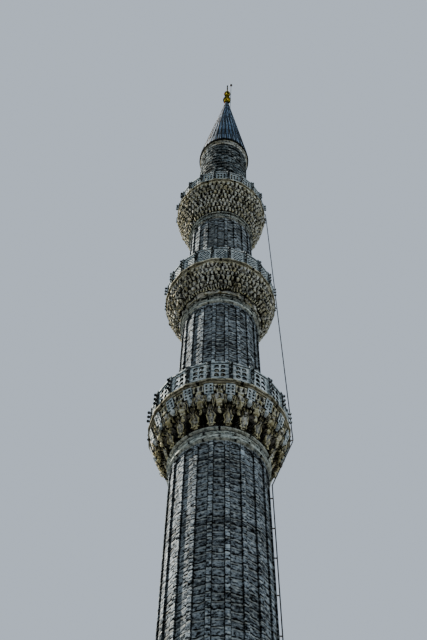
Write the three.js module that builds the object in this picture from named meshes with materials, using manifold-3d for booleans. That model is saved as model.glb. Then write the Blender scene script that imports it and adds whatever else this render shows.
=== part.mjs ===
// A stone minaret with three balconies, as a 1:2 scale model.
// Sizes below are those of the real tower in metres; M turns them into model millimetres.
// +Z is up, the origin is the centre of the base, and the front faces -Y.
import * as THREE from 'three';
import { mergeVertices } from 'three/addons/utils/BufferGeometryUtils.js';
import { ConvexGeometry } from 'three/addons/geometries/ConvexGeometry.js';
import Module from 'manifold-3d';

const wasm = await Module();
wasm.setup();

const M = 500;                 // model millimetres for one metre of the real tower
const GAP = 0.3;               // mm between neighbours
const SIDES = 20;              // flutes, parapet bays and corbel bays round the tower
const STEP = 360 / SIDES;      // degrees in one bay; a bay is centred on the front
const ROUND = 40;              // sides of the smooth rings

// Driving dimensions, in real metres
const PLINTH = { half: 2.45, top: 0.36 };
const PEDESTAL = { half: 2.15, wall: 0.8, top: 9.2, doorHalf: 0.4, doorTop: 2.3 };
const CORNICE = { top: 9.65, flare: 1.07 };
const TRANSITION = { top: 12.4, radius: 1.7 };
const LOWER_RING = { top: 13.0 };
const RIB = { depth: 0.055, halfAngle: 2.3, foot: 2.9 };
const CABLE = { r: 0.02, clip: 0.028, off: 0.13, wall: 2.24 };
const POST = { half: 0.065, out: 0.08 };
const PANEL = { halfThick: 0.04, column: 0.092 };
const BALCONY_DOOR = { half: 0.31, height: 1.8, near: 0.6, far: 1.8 };

// Each stage: shaft from z0 to z1 with rib radii r0 and r1, and the hollow's radius.
const STAGES = {
  lower: { z0: 13.0, z1: 27.4, r0: 1.585, r1: 1.485, bore: 1.1 },
  middle: { z0: 29.53, z1: 35.75, r0: 1.43, r1: 1.37, bore: 1.03 },
  upper: { z0: 37.87, z1: 43.15, r0: 1.325, r1: 1.265, bore: 0.93 },
};

// Each balcony: ring moulding, corbel tiers (top z, tooth radius low and high, niche depth,
// tooth half angle, half a bay of shift), floor slab, and parapet.
const BALCONIES = [
  {
    name: 'balcony_1', bore: 1.1, z: 27.4, ringTop: 28.05, ringR: 1.56,
    tiers: [
      { top: 28.48, r0: 1.6, r1: 1.79, niche: 0.13, half: 3.4, shift: 1 },
      { top: 28.86, r0: 1.8, r1: 1.97, niche: 0.14, half: 4.2, shift: 0 },
      { top: 29.22, r0: 1.98, r1: 2.12, niche: 0.1, half: 4.0, shift: 1 },
    ],
    slabTop: 29.53, slabR: 2.22, parapetTop: 30.54, postR: 2.13, panel: 'arched',
  },
  {
    name: 'balcony_2', bore: 1.03, z: 35.75, ringTop: 36.3, ringR: 1.43,
    tiers: [
      { top: 36.72, r0: 1.46, r1: 1.62, niche: 0.09, half: 3.4, shift: 1 },
      { top: 37.14, r0: 1.63, r1: 1.81, niche: 0.11, half: 4.2, shift: 0 },
      { top: 37.56, r0: 1.82, r1: 1.97, niche: 0.1, half: 4.0, shift: 1 },
    ],
    slabTop: 37.87, slabR: 2.06, parapetTop: 38.85, postR: 1.975, panel: 'lattice',
  },
  {
    name: 'balcony_3', bore: 0.93, z: 43.15, ringTop: 43.68, ringR: 1.32,
    tiers: [
      { top: 44.26, r0: 1.34, r1: 1.49, niche: 0.08, half: 3.4, shift: 1 },
      { top: 44.86, r0: 1.5, r1: 1.66, niche: 0.1, half: 4.2, shift: 0 },
      { top: 45.45, r0: 1.67, r1: 1.81, niche: 0.09, half: 4.0, shift: 1 },
    ],
    slabTop: 45.75, slabR: 1.91, parapetTop: 46.6, postR: 1.835, panel: 'grid',
  },
];
const SILL = 0.1;               // how far a doorway is cut below the balcony floor
const DRUM = { z0: 45.75, z1: 51.45, r0: 1.145, r1: 1.1, bore: 0.8 };
const EAVE = { z: 52.4, r: 1.21 };
const CONE_TOP = { z: 61.2, r: 0.07 };
const FINIAL_TOP = 63.26;
const CRESCENT = { outer: 0.26, inner: 0.2, lift: 0.075, tip: 62, thick: 0.07 };
const ROD = { side: 0.205, front: 0.13, foot: 59.973, top: 63.94, r: 0.016, bracket: 62.38, ball: 0.08 };
const LEAN = 0.0172;            // how far the top leans to the right for each metre of height

// Finishes
const STONE = new THREE.MeshStandardMaterial({ color: 0x8f9194, roughness: 0.92, metalness: 0 });
const CARVED = new THREE.MeshStandardMaterial({ color: 0x8b8163, roughness: 0.95, metalness: 0 });
const MARBLE = new THREE.MeshStandardMaterial({ color: 0xa3adb5, roughness: 0.8, metalness: 0 });
const LEAD = new THREE.MeshStandardMaterial({ color: 0x5f6f80, roughness: 0.6, metalness: 0.5 });
const GILT = new THREE.MeshStandardMaterial({ color: 0xc39a3a, roughness: 0.3, metalness: 1 });
const IRON = new THREE.MeshStandardMaterial({ color: 0x2e3033, roughness: 0.6, metalness: 0.8 });

const tower = new THREE.Group();
const rad = THREE.MathUtils.degToRad;

// A point at r metres from the axis, turned by a degrees from the front towards +X.
function polar(r, a) {
  return new THREE.Vector2(r * M * Math.sin(rad(a)), -r * M * Math.cos(rad(a)));
}

function circle(r, sides) {
  return Array.from({ length: sides }, (_, i) => polar(r, (i * 360) / sides));
}

// Merge the shared corners and make the faces point out.
function closed(geometry) {
  const g = geometry.index ? geometry.clone() : geometry;
  for (const key of Object.keys(g.attributes)) if (key !== 'position') g.deleteAttribute(key);
  const merged = mergeVertices(g, 1e-3);
  const p = merged.attributes.position;
  const kept = [];
  const index = merged.index.array;
  for (let i = 0; i < index.length; i += 3) {
    const [a, b, c] = [index[i], index[i + 1], index[i + 2]];
    if (a !== b && b !== c && a !== c) kept.push(a, b, c);
  }
  let volume = 0;
  const v = [new THREE.Vector3(), new THREE.Vector3(), new THREE.Vector3()];
  for (let i = 0; i < kept.length; i += 3) {
    v.forEach((q, k) => q.fromBufferAttribute(p, kept[i + k]));
    volume += v[0].dot(v[1].cross(v[2]));
  }
  if (volume < 0) {
    for (let i = 0; i < kept.length; i += 3) [kept[i], kept[i + 1]] = [kept[i + 1], kept[i]];
  }
  merged.setIndex(kept);
  return merged;
}

function toSolid(geometry) {
  const g = closed(geometry);
  return new wasm.Manifold(new wasm.Mesh({
    numProp: 3,
    vertProperties: new Float32Array(g.attributes.position.array),
    triVerts: new Uint32Array(g.index.array),
  }));
}

function fromSolid(solid) {
  const mesh = solid.getMesh();
  const g = new THREE.BufferGeometry();
  g.setAttribute('position', new THREE.BufferAttribute(new Float32Array(mesh.vertProperties), 3));
  g.setIndex([...mesh.triVerts]);
  return g;
}

function join(geometries) {
  return fromSolid(geometries.map(toSolid).reduce((a, b) => a.add(b)));
}

function cut(geometry, cutter) {
  return fromSolid(toSolid(geometry).subtract(toSolid(cutter)));
}

// Above the third balcony the tower leans a little to the right.
function leaning(geometry) {
  const shear = new THREE.Matrix4().makeShear(0, 0, 0, 0, LEAN, 0);
  return geometry.applyMatrix4(shear.setPosition(-LEAN * DRUM.z0 * M, 0, 0));
}

function add(name, geometry, material) {
  const mesh = new THREE.Mesh(closed(geometry), material.clone());
  mesh.name = name;
  tower.add(mesh);
}

// A block between two corners, in real metres, standing GAP above z0.
function block(x0, x1, y0, y1, z0, z1, gap = GAP) {
  const g = new THREE.BoxGeometry((x1 - x0) * M, (y1 - y0) * M, (z1 - z0) * M - gap);
  return g.translate(((x0 + x1) / 2) * M, ((y0 + y1) / 2) * M, ((z0 + z1) / 2) * M + gap / 2);
}

// A ring of masonry: an outline with the hollow of the tower through it. grow(t) scales
// the outline from the bottom (t = 0) to the top (t = 1); the hollow stays as it is.
function ring(outline, bore, z0, z1, grow = () => 1) {
  const shape = new THREE.Shape(outline);
  shape.holes.push(new THREE.Path(circle(bore, SIDES)));
  const depth = (z1 - z0) * M - GAP;
  const g = new THREE.ExtrudeGeometry(shape, { depth, bevelEnabled: false, steps: 1 });
  const p = g.attributes.position;
  const edge = (bore * M) * 1.01;
  for (let i = 0; i < p.count; i += 1) {
    if (Math.hypot(p.getX(i), p.getY(i)) > edge) {
      const k = grow(p.getZ(i) / depth);
      p.setXY(i, p.getX(i) * k, p.getY(i) * k);
    }
  }
  return g.translate(0, 0, z0 * M + GAP);
}

// A turned ring or cap from a profile of [radius, height] in real metres.
function turned(profile, sides = ROUND) {
  const pts = profile.map(([r, z]) => new THREE.Vector2(r * M, z * M));
  return new THREE.LatheGeometry(pts, sides).rotateX(Math.PI / 2);
}

// A turned moulding with the hollow through it: the profile is its outer face, upwards.
function moulding(profile, bore) {
  const z0 = profile[0][1] + GAP / M;
  const z1 = profile[profile.length - 1][1];
  const outer = profile.map(([r, z], i) => [r, i ? z : z0]);
  return turned([[bore, z0], ...outer, [bore, z1], [bore, z0]]);
}

// Outline of the fluted shaft: flat faces between narrow raised ribs at the bay corners.
function fluted(r) {
  const pts = [];
  for (let i = 0; i < SIDES; i += 1) {
    const a = i * STEP;
    const flat = STEP / 2 - RIB.foot;
    pts.push(polar(r - RIB.depth, a - flat), polar(r - RIB.depth, a + flat));
    pts.push(polar(r, a + STEP / 2 - RIB.halfAngle), polar(r, a + STEP / 2 + RIB.halfAngle));
  }
  return pts;
}

// Outline of a corbel tier: a tooth in each bay, with a niche between the teeth.
function toothed(tier) {
  const pts = [];
  for (let i = 0; i < SIDES; i += 1) {
    const a = (i + tier.shift / 2) * STEP;
    const n = STEP / 2 - 2.2;
    pts.push(polar(tier.r0, a - tier.half), polar(tier.r0, a + tier.half));
    pts.push(polar(tier.r0 - tier.niche, a + n), polar(tier.r0 - tier.niche, a + STEP - n));
  }
  return pts;
}

// The cutter of a balcony's doorway, through the front wall above floor.
function balconyDoor(floor) {
  const { half, height, near, far } = BALCONY_DOOR;
  return block(-half, half, -far, -near, floor - SILL, floor + height, 0);
}

// A chain of straight round bars through points in real metres.
function bars(points, r, sides = 6) {
  const pieces = [];
  const up = new THREE.Vector3(0, 1, 0);
  const at = points.map(([x, y, z]) => new THREE.Vector3(x * M, y * M, z * M));
  for (let i = 0; i + 1 < at.length; i += 1) {
    const way = at[i + 1].clone().sub(at[i]);
    const turn = new THREE.Quaternion().setFromUnitVectors(up, way.clone().normalize());
    const g = new THREE.CylinderGeometry(r * M, r * M, way.length(), sides);
    const middle = at[i].clone().add(at[i + 1]).multiplyScalar(0.5);
    pieces.push(g.applyQuaternion(turn).translate(middle.x, middle.y, middle.z));
    if (i) pieces.push(new THREE.OctahedronGeometry(r * M * 1.3).translate(at[i].x, at[i].y, at[i].z));
  }
  return pieces;
}

// Base: plinth, hollow pedestal with the entrance, and the change from square to round
add('base_plinth', block(-PLINTH.half, PLINTH.half, -PLINTH.half, PLINTH.half, 0, PLINTH.top, 0), STONE);
add('entrance_step', block(-0.75, 0.75, -PLINTH.half - 0.4, -PLINTH.half - GAP / M, 0, 0.18, 0), STONE);
{
  const h = PEDESTAL.half;
  const i = h - PEDESTAL.wall;
  const d = PEDESTAL.doorHalf;
  const e = GAP / M;
  const [z0, z1] = [PLINTH.top, PEDESTAL.top];
  add('pedestal_wall_back', block(-h, h, i, h, z0, z1), STONE);
  add('pedestal_wall_left', block(-h, -i, -i + e, i - e, z0, z1), STONE);
  add('pedestal_wall_right', block(i, h, -i + e, i - e, z0, z1), STONE);
  add('pedestal_wall_front_left', block(-h, -d, -h, -i, z0, z1), STONE);
  add('pedestal_wall_front_right', block(d, h, -h, -i, z0, z1), STONE);
  add('pedestal_wall_over_door', block(-d + e, d - e, -h, -i, PEDESTAL.doorTop, z1), STONE);
}
const square = (h) => [[-h, -h], [h, -h], [h, h], [-h, h]].map(([x, y]) => new THREE.Vector2(x * M, y * M));
const bore = STAGES.lower.bore;
add('pedestal_cornice',
  ring(square(PEDESTAL.half), bore, PEDESTAL.top, CORNICE.top, (t) => 1 + (CORNICE.flare - 1) * t), STONE);
{
  const z0 = CORNICE.top * M + GAP;
  const corners = square(PEDESTAL.half).map((p) => new THREE.Vector3(p.x, p.y, z0));
  const top = circle(TRANSITION.radius, SIDES).map((p) => new THREE.Vector3(p.x, p.y, TRANSITION.top * M));
  const hollow = new THREE.ExtrudeGeometry(new THREE.Shape(circle(bore, SIDES)),
    { depth: 4 * M, bevelEnabled: false }).translate(0, 0, z0 - 0.5 * M);
  add('transition', cut(new ConvexGeometry([...corners, ...top]), hollow), STONE);
}
add('lower_ring', moulding([[1.7, 12.4], [1.76, 12.55], [1.68, 12.7], [1.66, LOWER_RING.top]], bore), STONE);

// Shaft stages, with a doorway onto the balcony in the middle, upper and drum stages
for (const [name, s] of Object.entries(STAGES)) {
  const wall = ring(fluted(s.r0), s.bore, s.z0, s.z1, (t) => 1 + (s.r1 / s.r0 - 1) * t);
  add(`shaft_${name}`, name === 'lower' ? wall : cut(wall, balconyDoor(s.z0)), STONE);
}
{
  const wall = moulding([[DRUM.r0, DRUM.z0], [DRUM.r1, DRUM.z1]], DRUM.bore);
  add('drum', cut(leaning(wall), balconyDoor(DRUM.z0)), STONE);
}

// Holes of one panel: [centre x, centre height, outline around it], in real metres.
function holes(kind) {
  const arch = [[-0.065, -0.065], [0.065, -0.065], [0.065, 0.02], [0, 0.075], [-0.065, 0.02]];
  const diamond = [[0, -0.15], [0.08, 0], [0, 0.15], [-0.08, 0]];
  const pane = [[-0.06, -0.1], [0.06, -0.1], [0.06, 0.1], [-0.06, 0.1]];
  if (kind === 'arched') return grid([0.38, 0.6, 0.82], arch);
  return kind === 'lattice' ? grid([0.34, 0.68], diamond) : grid([0.29, 0.57], pane);
}

function grid(heights, outline) {
  return [-PANEL.column, PANEL.column].flatMap((x) => heights.map((z) => [x, z, outline]));
}

// Half a parapet, ten bays from the angle of the first: one ring of stone of panels and
// posts in plan, with the holes cut through each panel.
function parapet(b, first) {
  const h = (b.parapetTop - b.slabTop) * M - GAP;
  const t = rad(STEP / 2);
  const thick = PANEL.halfThick;
  const half = POST.half;
  const flat = b.postR * Math.cos(t);
  const side = (d) => (d - half * Math.sin(t)) / Math.cos(t);
  const at = (out, across, angle) => {
    const turn = rad(angle);
    return new THREE.Vector2((out * Math.sin(turn) + across * Math.cos(turn)) * M,
      (-out * Math.cos(turn) + across * Math.sin(turn)) * M);
  };
  const joint = 0.0095;
  const open = -b.postR * Math.sin(t) + POST.half + joint;
  const pts = [at(flat + thick, open, first)];
  for (let k = 0; k < SIDES / 2; k += 1) {
    const a = first + (k + 0.5) * STEP;
    pts.push(at(side(flat + thick), -half, a), at(b.postR + POST.out, -half, a));
    pts.push(at(b.postR + POST.out, half, a));
    if (k < SIDES / 2 - 1) pts.push(at(side(flat + thick), half, a));
    else pts.push(at(side(flat - thick), half, a), at(side(flat - thick), -half, a));
  }
  for (let k = SIDES / 2 - 2; k >= 0; k -= 1) {
    pts.push(at((flat - thick) / Math.cos(t), 0, first + (k + 0.5) * STEP));
  }
  pts.push(at(flat - thick, open, first));
  const wall = new THREE.ExtrudeGeometry(new THREE.Shape(pts), { depth: h, bevelEnabled: false });
  let solid = toSolid(wall.translate(0, 0, b.slabTop * M + GAP));
  for (let k = 0; k < SIDES / 2; k += 1) {
    for (const [x, z, outline] of holes(b.panel)) {
      const hole = new THREE.Shape(outline.map(([u, v]) => new THREE.Vector2((x + u) * M, (z + v) * M)));
      const g = new THREE.ExtrudeGeometry(hole, { depth: 0.2 * M, bevelEnabled: false });
      g.translate(0, 0, -0.1 * M).rotateX(Math.PI / 2).translate(0, -flat * M, b.slabTop * M);
      solid = solid.subtract(toSolid(g.rotateZ(rad(first + k * STEP))));
    }
  }
  return fromSolid(solid);
}

for (const b of BALCONIES) {
  const [z0, r] = [b.z, b.ringR];
  add(`${b.name}_ring`, moulding([[r - 0.05, z0], [r, z0 + 0.1], [r - 0.04, z0 + 0.18],
    [r, b.ringTop]], b.bore), STONE);
  let from = b.ringTop;
  b.tiers.forEach((tier, i) => {
    const grow = (t) => 1 + (tier.r1 / tier.r0 - 1) * t;
    add(`${b.name}_corbel_${i + 1}`, ring(toothed(tier), b.bore, from, tier.top, grow), CARVED);
    from = tier.top;
  });
  const R = b.slabR;
  add(`${b.name}_floor`, moulding([[R - 0.09, from], [R - 0.05, from + 0.14], [R, from + 0.2],
    [R, b.slabTop]], b.bore), STONE);
  add(`${b.name}_parapet_front`, parapet(b, -4 * STEP), MARBLE);
  add(`${b.name}_parapet_back`, parapet(b, 6 * STEP), MARBLE);
}

// Top: cornice of the drum, lead cone, gilded finial and lightning rod
add('drum_cornice', leaning(moulding([[1.1, DRUM.z1], [1.15, 51.6], [1.12, 51.75], [1.12, 52.05],
  [1.19, EAVE.z]], DRUM.bore)), CARVED);
{
  const z = EAVE.z + GAP / M;
  add('cone_roof', leaning(turned([[0, CONE_TOP.z], [CONE_TOP.r, CONE_TOP.z], [1.17, z + 0.16],
    [EAVE.r, z + 0.1], [EAVE.r, z], [1.08, z], [1.06, z + 0.2], [0.05, 60.2], [0, 60.2]].reverse())), LEAD);
}
const foot = CONE_TOP.z + GAP / M;
add('finial', leaning(turned([[0, foot], [0.1, foot], [0.13, 61.3], [0.1, 61.38], [0.06, 61.46],
  [0.15, 61.54], [0.217, 61.7], [0.15, 61.88], [0.05, 62.0], [0.09, 62.12], [0.045, 62.26], [0.045, 62.5],
  [0.13, 62.62], [0.178, 62.76], [0.13, 62.92], [0.045, 63.05], [0.06, 63.15], [0.035, FINIAL_TOP],
  [0, FINIAL_TOP]], 16)), GILT);
{
  // A crescent that opens upwards, in the plane of the view.
  const { outer, inner, lift, tip, thick } = CRESCENT;
  const shape = new THREE.Shape();
  const arc = (r, c, from, to, n) => Array.from({ length: n + 1 }, (_, i) => {
    const a = rad(from + ((to - from) * i) / n);
    return new THREE.Vector2(r * M * Math.sin(a), (c - r * Math.cos(a)) * M);
  });
  const yTip = outer * Math.sin(rad(180 - tip / 2));
  const zTip = -outer * Math.cos(rad(180 - tip / 2)) - lift;
  const b = 180 - THREE.MathUtils.radToDeg(Math.atan2(yTip, zTip));
  shape.setFromPoints([...arc(outer, 0, -(180 - tip / 2), 180 - tip / 2, 18),
    ...arc(inner, lift, b, -b, 18).slice(1, -1)]);
  const g = new THREE.ExtrudeGeometry(shape, { depth: thick * M, bevelEnabled: false });
  g.translate(0, 0, (-thick * M) / 2).rotateX(Math.PI / 2).rotateZ(Math.PI / 2);
  add('finial_crescent', leaning(g.translate(0, 0, (FINIAL_TOP + outer) * M + GAP)), GILT);
}

// The rod stands beside the finial on its own foot on the cone, with a ball at its tip.
{
  const { side, front, bracket, ball } = ROD;
  const tip = new THREE.IcosahedronGeometry(ball * M, 1);
  add('lightning_rod', leaning(join([...bars([[side, -front, ROD.foot], [side, -front, ROD.top]], ROD.r),
    ...bars([[side, -front, bracket], [0.0405, -0.0257, bracket]], 0.012, 4),
    tip.translate(side * M, -front * M, (ROD.top + 0.03) * M)])), IRON);
}

// Down conductor on the right side: from balcony to balcony, then clipped to the shaft
{
  const hooks = BALCONIES.map((b) => [b.slabR + 0.07, b.slabTop - 0.1]).reverse();
  const upper = bars([[hooks[0][0] - 0.02, 0, 46.25], ...hooks.map(([x, z]) => [x, 0, z])], CABLE.r);
  const arms = hooks.map(([x, z]) => bars([[x - 0.07 + GAP / M, 0, z], [x, 0, z]], CABLE.r)[0]);
  add('conductor_upper', join([...upper, ...arms]), IRON);

  const s = STAGES.lower;
  const face = (z) => (s.r0 - RIB.depth) * (1 + ((s.r1 / s.r0 - 1) * (z - s.z0)) / (s.z1 - s.z0));
  const [x0, z0] = hooks[2];
  const { off, clip } = CABLE;
  const run = [[x0 - 0.01, z0 - 0.06], [face(27.2) + off, 27.2], [face(13.3) + off, 13.3], [1.84, 12.7],
    [1.84, 12.4], [2.4, 9.8], [2.4, 9.1], [CABLE.wall, 8.9], [CABLE.wall, PLINTH.top + 0.02]];
  const flat = Math.cos(rad(STEP / 2 - RIB.foot));
  const clips = [26.6, 25.3, 24.1, 22.7, 21.3, 19.9, 18.5, 17.1, 15.7, 14.3]
    .map((z) => bars([[face(z) * flat + 2 * GAP / M, 0, z], [face(z) + off, 0, z]], clip, 4)[0]);
  const wall = [7, 3]
    .map((z) => bars([[PEDESTAL.half + GAP / M, 0, z], [CABLE.wall, 0, z]], clip, 4)[0]);
  add('conductor_lower', join([...bars(run.map(([x, z]) => [x, 0, z]), CABLE.r), ...clips, ...wall]), IRON);
}

export default tower;
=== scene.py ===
# %% [markdown]
# # A stone minaret
# The tower is a 1:2 scale model. It stands on a square base, rises as a fluted shaft
# through three balconies, and ends in a round drum, a lead cone and a gilded finial.
# The solids come from the CAD model; this script gives them their carved and turned
# detail and their finishes.

# %% Start
import math

import bmesh
import bpy
from mathutils import Matrix, Vector, noise


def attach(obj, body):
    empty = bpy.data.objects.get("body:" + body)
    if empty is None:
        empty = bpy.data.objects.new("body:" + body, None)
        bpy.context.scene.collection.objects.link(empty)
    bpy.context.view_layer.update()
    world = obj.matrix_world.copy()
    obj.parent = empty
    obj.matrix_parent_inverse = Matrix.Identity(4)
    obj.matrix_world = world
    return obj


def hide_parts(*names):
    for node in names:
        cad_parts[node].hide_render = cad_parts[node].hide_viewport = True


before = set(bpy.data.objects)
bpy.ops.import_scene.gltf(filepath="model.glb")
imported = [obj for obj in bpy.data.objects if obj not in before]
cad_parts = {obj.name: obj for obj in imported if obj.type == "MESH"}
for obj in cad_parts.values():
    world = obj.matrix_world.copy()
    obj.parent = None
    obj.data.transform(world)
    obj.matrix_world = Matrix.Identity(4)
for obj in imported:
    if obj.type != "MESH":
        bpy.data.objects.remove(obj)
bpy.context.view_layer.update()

# %% [markdown]
# ## Sizes
# All sizes are those of the real tower in metres, and `S` makes them model metres.
# There are twenty bays round the tower, and the middle of one faces the front, -Y.
# An angle of 0 is the front, and it grows towards +X. Above the third balcony the tower
# leans one degree to the right, so each metre up moves it 0.0172 m. The hollow inside has
# a radius, its bore, that shrinks from stage to stage.

# %% Sizes
S = 0.5
BAYS = 20
BAY = math.tau / BAYS
POST_ANGLE = BAY / 2
LEAN, LEAN_Z = 0.0172, 45.75
DRUM_R, DRUM_BORE = 1.1, 0.8
BALCONIES = {
    "balcony_1": {"bore": 1.1, "ring": 27.4, "ring_top": 28.05, "soffit": 29.36, "floor": 29.53},
    "balcony_2": {"bore": 1.03, "ring": 35.75, "ring_top": 36.3, "soffit": 37.7, "floor": 37.87},
    "balcony_3": {"bore": 0.93, "ring": 43.15, "ring_top": 43.68, "soffit": 45.59, "floor": 45.75},
}


def polar(r, a, z):
    """The model point r real metres from the axis, at the angle a and the height z."""
    return Vector((r * S * math.sin(a), -r * S * math.cos(a), z * S))


# %% [markdown]
# ## Camera
# The photographer stood close to the foot and looked up at sixty degrees. The lens is a
# long one: 1100 pixels for a frame 640 pixels high. The picture leans by one degree.

# %% Camera
FOCAL_PX = 1100.0
FRAME_PX = 640.0
PITCH = math.radians(60.0)
YAW = math.radians(0.7)
ROLL = math.radians(1.08)
EYE = (0.0, -20.3 * S, 1.7 * S)

eye = bpy.data.cameras.new("eye")
eye.sensor_width = 36.0
eye.lens = FOCAL_PX / FRAME_PX * eye.sensor_width
eye.clip_end = 500.0
viewer = bpy.data.objects.new("viewer", eye)
turned = (Matrix.Rotation(YAW, 4, "Z") @ Matrix.Rotation(math.radians(90.0) + PITCH, 4, "X")
          @ Matrix.Rotation(ROLL, 4, "Z"))
viewer.matrix_world = Matrix.Translation(EYE) @ turned
bpy.context.scene.collection.objects.link(viewer)
bpy.context.scene.camera = viewer
print("lens", round(eye.lens, 1), "mm")

# %% [markdown]
# ## Helpers for materials
# Colours are written as the hex values that a picture shows, and `colour` turns them to
# the linear values that Blender works with. `node` adds one node with its settings and
# its links, and gives its outputs back, so that a material reads as a list of steps.


# %% Material helpers
def colour(code):
    parts = [int(code[i:i + 2], 16) / 255.0 for i in (1, 3, 5)]
    linear = [c / 12.92 if c <= 0.04045 else ((c + 0.055) / 1.055) ** 2.4 for c in parts]
    return (*linear, 1.0)


def node(material, kind, inputs=None, **settings):
    """Add a node and give its outputs. An input is a value or another node's output."""
    made = material.node_tree.nodes.new(kind)
    for name, value in settings.items():
        setattr(made, name, value)
    for name, value in (inputs or {}).items():
        if isinstance(value, bpy.types.NodeSocket):
            material.node_tree.links.new(value, made.inputs[name])
        else:
            made.inputs[name].default_value = value
    return made.outputs


def cover(material, body, pattern, paint, start=0.0, full=1.0, share=1.0):
    """Paint over the colour `body`: not at all where the pattern is at `start`, and by
    `share` where it is at `full`."""
    amount = node(material, "ShaderNodeMapRange", {0: pattern, 1: start, 2: full, 3: 0.0, 4: share})[0]
    return node(material, "ShaderNodeMix", {0: amount, 6: body, 7: paint}, data_type="RGBA")[2]


def blank(name, roughness, metallic=0.0, gloss=0.5):
    """A new material, and its shader."""
    material = bpy.data.materials.new(name)
    material.use_nodes = True
    shader = material.node_tree.nodes["Principled BSDF"]
    shader.inputs["Specular IOR Level"].default_value = gloss
    shader.inputs["Roughness"].default_value = roughness
    shader.inputs["Metallic"].default_value = metallic
    return material, shader


def finished(material, shader, body, height, strength, depth):
    """Link the colour `body`, and a bump of a depth in real metres."""
    bump = node(material, "ShaderNodeBump", {"Height": height, "Strength": strength,
                                             "Distance": depth * S})[0]
    material.node_tree.links.new(body, shader.inputs["Base Color"])
    material.node_tree.links.new(bump, shader.inputs["Normal"])
    print(material.name, len(material.node_tree.nodes), "nodes")
    return material


# %% [markdown]
# ## Light
# A warm lamp stands on the left and a little behind, so most of the front is in shade and
# a bright strip runs up the left edge. A soft sky lights the rest from above. Little light
# comes from below, because the real tower stands high over dark ground, so the undersides
# of the balconies stay dark. The backdrop is plain and pale.

# %% Light
KEY_TURN = math.radians(-110.0)
KEY_RISE = math.radians(58.0)
FILL_TURN = math.radians(75.0)
FILL_RISE = math.radians(35.0)
SKY_HIGH = (0.54, 0.65, 0.74, 1.0)
SKY_LOW = (0.26, 0.26, 0.24, 1.0)
BACKDROP = (0.52, 0.60, 0.70, 1.0)

for name, turn_by, rise, energy, tint, spread in (
        ("key", KEY_TURN, KEY_RISE, 22.0, (1.0, 0.93, 0.82), 0.02),
        ("fill", FILL_TURN, FILL_RISE, 0.9, (0.88, 0.95, 1.0), 1.0)):
    light = bpy.data.lights.new(name, "SUN")
    light.energy = energy
    light.color = tint
    light.angle = spread
    lamp = bpy.data.objects.new(name, light)
    towards = polar(-math.cos(rise), turn_by, -math.sin(rise))
    lamp.rotation_euler = towards.to_track_quat("-Z", "Y").to_euler()
    bpy.context.scene.collection.objects.link(lamp)
    print(name, "light from", [round(v, 2) for v in -towards.normalized()])

sky = bpy.data.worlds.new("studio")
sky.use_nodes = True
facing = node(sky, "ShaderNodeTexCoord")["Generated"]
height = node(sky, "ShaderNodeSeparateXYZ", {0: facing})["Z"]
glow = cover(sky, SKY_LOW, height, SKY_HIGH, -0.2, 0.3)
soft = node(sky, "ShaderNodeBackground", {"Color": glow})[0]
plain = node(sky, "ShaderNodeBackground", {"Color": BACKDROP})[0]
seen = node(sky, "ShaderNodeLightPath")["Is Camera Ray"]
either = node(sky, "ShaderNodeMixShader", {0: seen, 1: soft, 2: plain})[0]
sky.node_tree.links.new(either, sky.node_tree.nodes["World Output"].inputs["Surface"])
bpy.context.scene.world = sky

# %% [markdown]
# ## Soot and painted shade
# On old limestone the rain washes the open faces pale, and soot stays black wherever the
# water does not reach: in joints, in niches and under ledges. Ambient occlusion darkens
# sheltered places on any shape, partly as soot and partly as painted shade. The carved
# pieces also carry an attribute of painted shade that is 1 at the back of a niche, because
# their niches are far blacker than open corners. The same attribute paints shade into the
# grooves of mouldings, under lips and the eave, on the cone's seams, on the sides of holes,
# brackets and posts, and on knobs.


# %% Soot and painted shade
# Black of soot, used also for painted shade.
SOOT_AND_SHADE = colour("#050606")
# Pale of fresh scars, used also for painted highlights.
PALE = colour("#cacbc4")
# Strengths of painted shade: the blackest in holes, under the eave and on the cone's seams, then on the
# shaded sides of posts, in grooves and under cornice lips.
BLACKEST_SHADE, POST_SIDE_SHADE, GROOVE_SHADE, UNDERSIDE_SHADE = 1.0, 0.95, 0.8, 0.7


def soot_and_painted_shade(material, clean, reach, amount, uneven=1.0):
    """Darken a colour with soot and painted shade where the surface is hidden from the sky,
    within reach in real metres. The attribute's painted shade is as strong as `uneven` says,
    from 0 up."""
    # Ambient occlusion paints soot and shade into places hidden from the sky.
    open_sky = node(material, "ShaderNodeAmbientOcclusion", {"Distance": reach * S}, samples=6)["AO"]
    ao_shade = node(material, "ShaderNodeMapRange",
                   {0: open_sky, 1: 0.3, 2: 0.8, 3: amount, 4: 0.0})[0]
    # The attribute paints shade at the back of niches, in grooves and on shaded sides.
    carved = node(material, "ShaderNodeAttribute", attribute_name="hollow")["Fac"]
    carved = node(material, "ShaderNodeMath", {0: carved, 1: uneven}, operation="MULTIPLY")[0]
    deep = node(material, "ShaderNodeMapRange", {0: carved, 1: 0.15, 2: 0.75, 3: 0.0, 4: 0.97})[0]
    dark = node(material, "ShaderNodeMath", {0: ao_shade, 1: deep}, operation="MAXIMUM")[0]
    return cover(material, clean, dark, SOOT_AND_SHADE)


# %% [markdown]
# ## Ashlar
# The walls are squared blocks of limestone in level courses. Each block has its own tone,
# so the material works out which block a point lies in: the course from the height, and
# the place round the tower from the angle. White noise then gives each block a value that
# never changes. Joints are really about 5 mm wide; they are drawn 20 to 60 mm wide, as dark
# as soot, because that is what the eye sees of them from the ground.


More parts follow.
